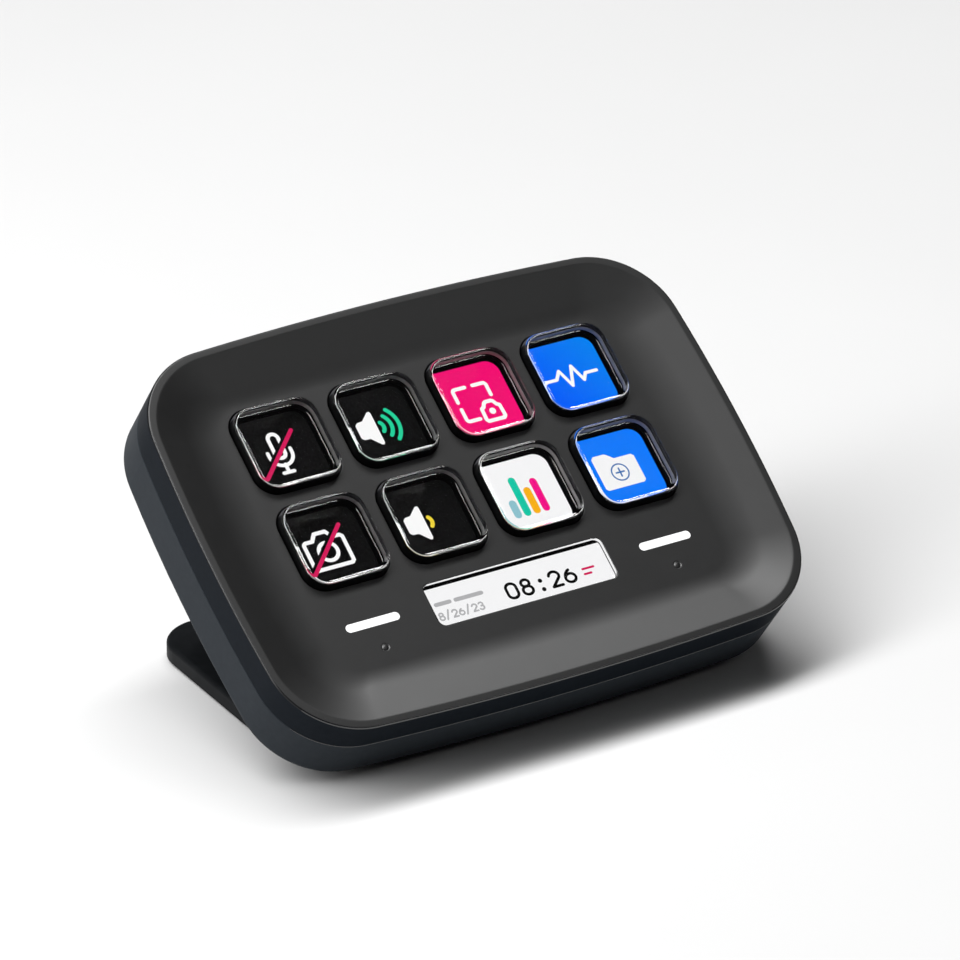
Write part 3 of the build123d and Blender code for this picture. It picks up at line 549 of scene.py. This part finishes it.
# ------------------------------------------------------------------ frames: matt where the block is bonded, lighter inside the opening
for number, (ku, kv) in enumerate(KEYS, start=1):
    bm = bmesh.new()
    steps = [(7.92, 3.62, CAP_LOW), (8.30, 3.9, CAP_LOW), (8.30, 3.9, -1.25), (9.12, 4.72, -1.25), (9.15, 4.75, -1.28), (9.15, 4.75, -1.75),
             (7.80, 3.5, -1.75), (7.80, 3.5, CAP_LOW - 0.12)]
    chain = [ring(bm, rounded(ku, kv, h, h, r, 16), w) for h, r, w in steps]
    for k, (a, b) in enumerate(zip(chain, chain[1:] + chain[:1])):
        bridge(bm, a, b, 1 if k >= 6 else 0)
    skin = finish_mesh(bm, f"key_frame_skin_{number}", [M["frame_plastic"], M["frame_wall"]], 30)
    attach(skin, f"key_{number}")
    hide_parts(f"key_frame_{number}")

# ------------------------------------------------------------------ silicone mat: a sheet with a hole at each key, and a soft ring under each frame
MAT_W = -2.58
bm = bmesh.new()
slab(bm, [rounded(0, KEY_V, 39.2, 19.8, 3.0, 8)] + [rounded(u, v, 7.45, 7.45, 3.2, 10) for u, v in KEYS], MAT_W - 0.3, MAT_W)
sheet = finish_mesh(bm, "mat_sheet", [M["silicone"]], 30)
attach(sheet, "housing")
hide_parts("key_mat")
for number, (ku, kv) in enumerate(KEYS, start=1):
    bm = bmesh.new()
    steps = [(9.0, 4.2, MAT_W), (9.0, 4.2, -1.81), (8.96, 4.16, -1.77), (8.24, 3.84, -1.77), (8.2, 3.8, -1.81), (8.2, 3.8, MAT_W)]
    chain = [ring(bm, rounded(ku, kv, h, h, r, 12), w) for h, r, w in steps]
    for a, b in zip(chain, chain[1:] + chain[:1]):
        bridge(bm, a, b)
    soft_ring = finish_mesh(bm, f"mat_ring_{number}", [M["silicone"]], 30, weighted=False)
    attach(soft_ring, "housing")
    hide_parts("key_mat")
    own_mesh(soft_ring)

# ------------------------------------------------------------------ information window: clear, with a dark border round its side
bm = bmesh.new()
pane = [rounded(0, WIN_V, WIN_HALF_W - 0.03 + e, WIN_HALF_H - 0.03 + e, WIN_R - 0.03 + e, 12) for e in (-0.06, -0.02, 0.0, 1.0)]
tops = [ring(bm, pane[0], -0.02), ring(bm, pane[1], -0.035), ring(bm, pane[2], -0.08)]
bm.faces.new(tops[0])
bridge(bm, tops[0], tops[1], 0)
bridge(bm, tops[1], tops[2], 0)
skirt = [tops[2], ring(bm, pane[2], -PLATE_T), ring(bm, pane[3], -PLATE_T - 0.01), ring(bm, pane[3], -PLATE_T - 0.5), ring(bm, pane[2], -PLATE_T - 0.5)]
for k, (a, b) in enumerate(zip(skirt, skirt[1:])):
    bridge(bm, a, b, 1 if k else 0)
bm.faces.new(list(reversed(skirt[-1])))
window = finish_mesh(bm, "window_pane", [M["window_acrylic"], M["window_border"]], 30)
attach(window, "housing")
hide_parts("info_window")


# ------------------------------------------------------------------ what the display shows: flat lit shapes on its glass
def lit(name, colour, strength=1.08, var=0.0, scale=2500):
    return material(name, (0.002, 0.002, 0.002), 0.3, 0.04, 0.2, 600, emit=(colour, strength), emit_var=var, emit_scale=scale, Specular_IOR_Level=0.05)


L = {
    "off": lit("lit_off", (0.0026, 0.0026, 0.0027), 1.0, 0.95, 2600),
    "white": lit("lit_white", (0.95, 0.95, 0.95), 1.08, 0.01),
    "paper": lit("lit_paper", "#f3f3f4", 1.10, 0.012),
    "ink": lit("lit_ink", "#060606", 1.0, 0.2),
    "grey": lit("lit_grey", "#b2b2b4", 1.05, 0.03),
    "crimson": lit("lit_crimson", "#cf1a58", 1.08, 0.03),
    "green": lit("lit_green", "#22cf98", 1.08, 0.03),
    "yellow": lit("lit_yellow", "#ecd33a", 1.08, 0.03),
    "magenta": lit("lit_magenta", "#f10a70", 1.08, 0.02),
    "blue": lit("lit_blue", "#0a78fa", 1.08, 0.02),
    "slate": lit("lit_slate", "#2f6cb0", 1.05, 0.05),
    "cyan": lit("lit_cyan", "#8fc3cf", 1.05, 0.03),
    "teal": lit("lit_teal", "#14c7a6", 1.05, 0.03),
    "amber": lit("lit_amber", "#fbb316", 1.05, 0.03),
    "rose": lit("lit_rose", "#f40a86", 1.05, 0.03),
}
# the deep blue key brightens towards its upper right corner
deep = lit("lit_deep_blue", "#0060ff", 1.08)
nt = deep.node_tree
bsdf = nt.nodes["Principled BSDF"]
coord = nt.nodes.new("ShaderNodeTexCoord")
split = nt.nodes.new("ShaderNodeSeparateXYZ")
total = nt.nodes.new("ShaderNodeMath")
total.operation = "ADD"
span = nt.nodes.new("ShaderNodeMapRange")
ramp = nt.nodes.new("ShaderNodeValToRGB")
nt.links.new(coord.outputs["Object"], split.inputs["Vector"])
nt.links.new(split.outputs["X"], total.inputs[0])
nt.links.new(split.outputs["Z"], total.inputs[1])
nt.links.new(total.outputs["Value"], span.inputs["Value"])
lo_pt, hi_pt = world(KEYS[3][0] - 7, KEYS[3][1] - 7, LCD_W), world(KEYS[3][0] + 7, KEYS[3][1] + 7, LCD_W)
span.inputs["From Min"].default_value = lo_pt.x + lo_pt.z
span.inputs["From Max"].default_value = hi_pt.x + hi_pt.z
ramp.color_ramp.elements[0].color = (*srgb("#0050fc"), 1)
ramp.color_ramp.elements[1].color = (*srgb("#0482ee"), 1)
nt.links.new(span.outputs["Result"], ramp.inputs["Fac"])
nt.links.new(ramp.outputs["Color"], bsdf.inputs["Emission Color"])
L["deep"] = deep

TILE = 7.06
W_TILE = (LCD_W + 0.01, LCD_W + 0.04)
W_ICON = (LCD_W + 0.04, LCD_W + 0.06)
W_CUT = (LCD_W + 0.05, LCD_W + 0.07)
W_OVER = (LCD_W + 0.06, LCD_W + 0.08)


def picture(name, layers):
    """One lit picture: layers are (material, loops, heights)."""
    bm = bmesh.new()
    mats = []
    for mat_name, loops, (w0, w1) in layers:
        if L[mat_name] not in mats:
            mats.append(L[mat_name])
        slab(bm, loops, w0, w1, mats.index(L[mat_name]))
    obj = finish_mesh(bm, name, mats, 30, weighted=False)
    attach(obj, "housing")
    return obj


def tile(k, mat_name):
    u, v = KEYS[k - 1]
    return (mat_name, [rounded(u, v, TILE, TILE, 2.5, 12)], W_TILE)


def strip(k, p, q, width, mat_name, where):
    u, v = KEYS[k - 1]
    return (mat_name, stroke(at([p, q], u, v), width), where)


def slash(k, p, q):
    """The struck-out mark: a crimson line with a dark gap along its upper left side."""
    side = Vector((q[1] - p[1], p[0] - q[0])).normalized()
    side = side if side.y > 0 else -side
    gap = [(a[0] + side.x * 0.60, a[1] + side.y * 0.60) for a in (p, q)]
    return [strip(k, gap[0], gap[1], 0.60, "off", W_CUT), strip(k, p, q, 0.74, "crimson", W_OVER)]


def shapes(k, loops_list, mat_name, where=W_ICON):
    u, v = KEYS[k - 1]
    return [(mat_name, [at(loop, u, v) for loop in loops], where) for loops in loops_list]


# 1: microphone, off
mic = []
mic.append(stroke(arc(-0.45, 2.75, 0.95, 0, 180, 16) + arc(-0.45, -0.15, 0.95, 180, 360, 16), 0.7, closed=True))
mic.append(stroke([(-2.65, 0.35)] + arc(-0.45, -0.35, 2.2, 180, 360, 30) + [(1.75, 0.35)], 0.66))
mic.append(stroke([(-0.45, -2.4), (-0.45, -3.7)], 0.7))
mic.append(stroke([(-1.45, -3.95), (0.55, -3.95)], 0.66))
picture("display_picture_1", [tile(1, "off")] + shapes(1, mic, "white") + slash(1, (3.45, 3.55), (-4.95, -4.4)))


# 2 and 6: loudspeaker
def speaker():
    body = [(-4.35, 1.15), (-3.85, 1.65), (-2.75, 1.75), (-1.2, 3.15), (-0.75, 3.2), (-0.55, 2.8), (-0.55, -3.1), (-0.8, -3.5), (-1.2, -3.4), (-2.75, -1.85), (-3.9, -1.8), (-4.35, -1.3)]
    return [[body]]


waves = [stroke(arc(-0.6, -0.2, r, -45, 45, 14), 0.74) for r in (1.25, 2.75, 4.2)]
picture("display_picture_2", [tile(2, "off")] + shapes(2, speaker(), "white") + shapes(2, waves, "green"))
picture("display_picture_6", [tile(6, "off")] + shapes(6, speaker(), "white") + shapes(6, waves[:1], "yellow"))


# 3: area capture
def frame_corner(cx, cy, sx, sy, arm=2.55, r=0.55):
    pts = [(cx, cy - sy * arm)]
    pts += [(cx, cy - sy * r)]
    for k in range(1, 7):
        t = math.radians(90 * k / 6)
        pts.append((cx + sx * r * (1 - math.cos(t)), cy - sy * r * (1 - math.sin(t))))
    pts.append((cx + sx * arm, cy))
    return pts


grab = [stroke(frame_corner(-3.45, 3.1, 1, 1), 0.7), stroke(frame_corner(3.25, 3.1, -1, 1), 0.7), stroke(frame_corner(-3.45, -3.45, 1, -1), 0.7)]
small_camera = [(0.25, -1.75), (0.75, -1.45), (1.15, -0.75), (1.5, -0.55), (2.6, -0.55), (2.95, -0.75), (3.35, -1.45), (3.85, -1.75), (3.95, -3.9), (3.6, -4.3), (0.5, -4.3), (0.15, -3.9)]
grab.append(stroke(small_camera, 0.72, closed=True))
grab.append([circle(2.05, -2.55, 0.62)])
picture("display_picture_3", [tile(3, "magenta")] + shapes(3, grab, "white"))

# 4: a pulse line
pulse = [stroke([(-5.2, 0.0), (-2.9, 0.0), (-1.75, 1.55), (-0.45, -1.75), (0.95, 1.95), (2.2, -1.2), (3.0, 0.0), (5.3, 0.0)], 0.62)]
picture("display_picture_4", [tile(4, "deep")] + shapes(4, pulse, "white"))

# 5: camera, off
camera_box = [(-4.35, 1.55), (-3.95, 1.9), (-2.55, 1.9), (-1.65, 3.15), (0.45, 3.15), (1.35, 1.9), (2.75, 1.9), (3.15, 1.5), (3.15, -3.2), (2.75, -3.6), (-3.95, -3.6), (-4.35, -3.2)]
cam_shapes = [stroke(camera_box, 0.72, closed=True), stroke(arc(-0.55, -0.6, 1.72, 0, 352.8, 48), 0.7, closed=True)]
picture("display_picture_5", [tile(5, "off")] + shapes(5, cam_shapes, "white") + slash(5, (3.45, 3.75), (-5.1, -4.45)))

# 7: four bars
chart = [("cyan", -2.85, -1.1), ("teal", -0.95, 3.1), ("amber", 0.95, 0.6), ("rose", 2.85, 2.0)]
layers = [tile(7, "paper")]
for mat_name, x, top in chart:
    layers += shapes(7, [stroke([(x - 0.15, -3.3), (x - 0.15, top)], 1.42, n=12)], mat_name)
picture("display_picture_7", layers)

# 8: folder
folder = [[(-4.3, 2.95), (-3.8, 3.45), (-1.6, 3.45), (-1.1, 3.2), (0.0, 2.25), (3.4, 2.25), (3.9, 1.8), (3.9, -3.1), (3.45, -3.5), (-3.85, -3.5), (-4.3, -3.1)]]
mark = [stroke(arc(-0.15, -0.6, 1.62, 0, 352.8, 48), 0.26, closed=True), stroke([(-0.95, -0.6), (0.65, -0.6)], 0.3), stroke([(-0.15, 0.2), (-0.15, -1.4)], 0.3)]
picture("display_picture_8", [tile(8, "blue")] + shapes(8, [folder], "paper") + shapes(8, mark, "slate", W_OVER))

# information field: a clock, with plain bars where words would be
digits = {
    "0": [arc(1.0, 2.35, 0.98, 0, 180, 14) + arc(1.0, 0.98, 0.98, 180, 360, 14)],
    "2": [arc(1.0, 2.35, 0.98, 165, -30, 16) + [(0.1, 0.0), (2.0, 0.0)]],
    "3": [arc(0.95, 2.5, 0.85, 150, -90, 14), arc(0.95, 0.85, 0.95, 90, -150, 16)],
    "8": [arc(1.0, 2.55, 0.78, 0, 352, 22), arc(1.0, 0.88, 0.95, 0, 352, 26)],
    "6": [arc(1.0, 1.0, 0.98, 0, 352, 26), arc(2.15, 0.95, 2.13, 180, 118, 10)],
}
info = [("paper", [rounded(0, WIN_V - 0.11, 18.78, 4.24, 0.2, 3)], W_TILE)]


def number_line(text, x, base, size, step, colon_step, width, mat_name, dot):
    for ch in text:
        if ch == ":":
            info.extend((mat_name, [circle(x + 0.95, base + y, dot, 20)], W_ICON) for y in (0.12, 1.83))
            x += colon_step
            continue
        if ch == "/":
            info.append((mat_name, stroke([(x + 0.05, base - 0.1), (x + 1.7 * size, base + 3.4 * size)], width), W_ICON))
            x += step
            continue
        for part in digits[ch]:
            shut = ch == "0" or (len(part) > 20 and ch in "86" and (Vector(part[0]) - Vector(part[-1])).length < 0.3)
            drawn = [(px * size, py * size * 0.845) for px, py in part]
            info.append((mat_name, stroke(at(drawn, x, base), width, closed=shut), W_ICON if part is digits[ch][0] else W_OVER))
        x += step


number_line("08:26", -2.0, -19.95, 1.0, 2.93, 2.80, 0.54, "ink", 0.41)
number_line("8/26/23", -16.05, -20.30, 0.47, 1.31, 1.2, 0.30, "grey", 0.2)
info.append(("crimson", stroke([(13.4, -18.2), (15.6, -18.2)], 0.42), W_ICON))
info.append(("crimson", stroke([(13.4, -19.2), (14.7, -19.2)], 0.42), W_ICON))
for a, b in ((-15.6, -12.9), (-11.7, -6.6)):
    info.append(("grey", stroke([(a, -17.3), (b, -17.3)], 0.75), W_ICON))
picture("display_picture_info", info)

# ------------------------------------------------------------------ camera
cam_data = bpy.data.cameras.new("camera")
cam = bpy.data.objects.new("camera", cam_data)
COLL.objects.link(cam)
right = Vector((0.846772, -0.531955, 0.000238))
up = Vector((0.227731, 0.362908, 0.903569))
back = Vector((-0.480745, -0.765063, 0.428443))
m = Matrix((right, up, back)).transposed().to_4x4()
m.translation = Vector((-0.485012, -0.776640, 0.469668))
cam.matrix_world = m
cam_data.lens = 222.26
cam_data.sensor_width = 36.0
cam_data.clip_start, cam_data.clip_end = 0.05, 20.0
SCENE.camera = cam

# ------------------------------------------------------------------ floor and light
bm = bmesh.new()
bmesh.ops.create_grid(bm, x_segments=4, y_segments=4, size=4.0)
mesh = bpy.data.meshes.new("floor")
bm.to_mesh(mesh)
bm.free()
floor = bpy.data.objects.new("floor", mesh)
COLL.objects.link(floor)
mesh.materials.append(material("floor_pale", (0.72, 0.72, 0.72), 0.9, 0.02, 0.01, 8.0, Specular_IOR_Level=0.1))


def softbox(name, centre, target, size, radiance, shape="RECTANGLE", turn=0.0):
    """An even area light; turn is its rotation about its own axis."""
    data = bpy.data.lights.new(name, "AREA")
    data.shape = shape
    data.size, data.size_y = size
    area = size[0] * size[1] * (math.pi / 4 if shape == "ELLIPSE" else 1.0)
    data.energy = radiance * math.pi * area
    obj = bpy.data.objects.new(name, data)
    COLL.objects.link(obj)
    centre, target = Vector(centre), Vector(target)
    d = (target - centre).normalized()
    a = d.cross(Vector((0, 1, 0))).normalized()
    b = a.cross(d)
    x = a * math.cos(turn) + b * math.sin(turn)
    y = b * math.cos(turn) - a * math.sin(turn)
    m = Matrix((x, y, -d)).transposed().to_4x4()
    m.translation = centre
    obj.matrix_world = m
    obj.visible_camera = False
    return obj


softbox("key_light", (-0.42, 0.10, 0.90), (0.0, 0.0, 0.03), (3.10, 0.345), 10.8, "ELLIPSE", 0.215)
softbox("front_strip", (0.46, -0.74, 0.78), (0.0, 0.0, 0.03), (0.40, 0.02), 16.0)
# three small lights that only the polished edges answer to
polished = bpy.data.collections.new("polished_edges")
for o in EDGES:
    polished.objects.link(o)
for name, d, size, radiance in (("edge_light_left", (0.16, -0.255, 0.95), (0.12, 0.15), 20.0),
                                ("edge_light_top", (0.48, 0.14, 0.866), (0.20, 0.09), 7.0),
                                ("edge_light_front", (0.48, -0.61, 0.63), (0.30, 0.22), 32.0)):
    lamp = softbox(name, Vector(d).normalized() * 1.0 + Vector((0, 0, 0.03)), (0.0, 0.0, 0.03), size, radiance)
    lamp.light_linking.receiver_collection = polished

world_data = bpy.data.worlds.new("studio")
SCENE.world = world_data
world_data.use_nodes = True
world_data.node_tree.nodes["Background"].inputs["Color"].default_value = (1, 1, 1, 1)
world_data.node_tree.nodes["Background"].inputs["Strength"].default_value = 0.015

SCENE.view_settings.view_transform = "Standard"
SCENE.view_settings.look = "None"
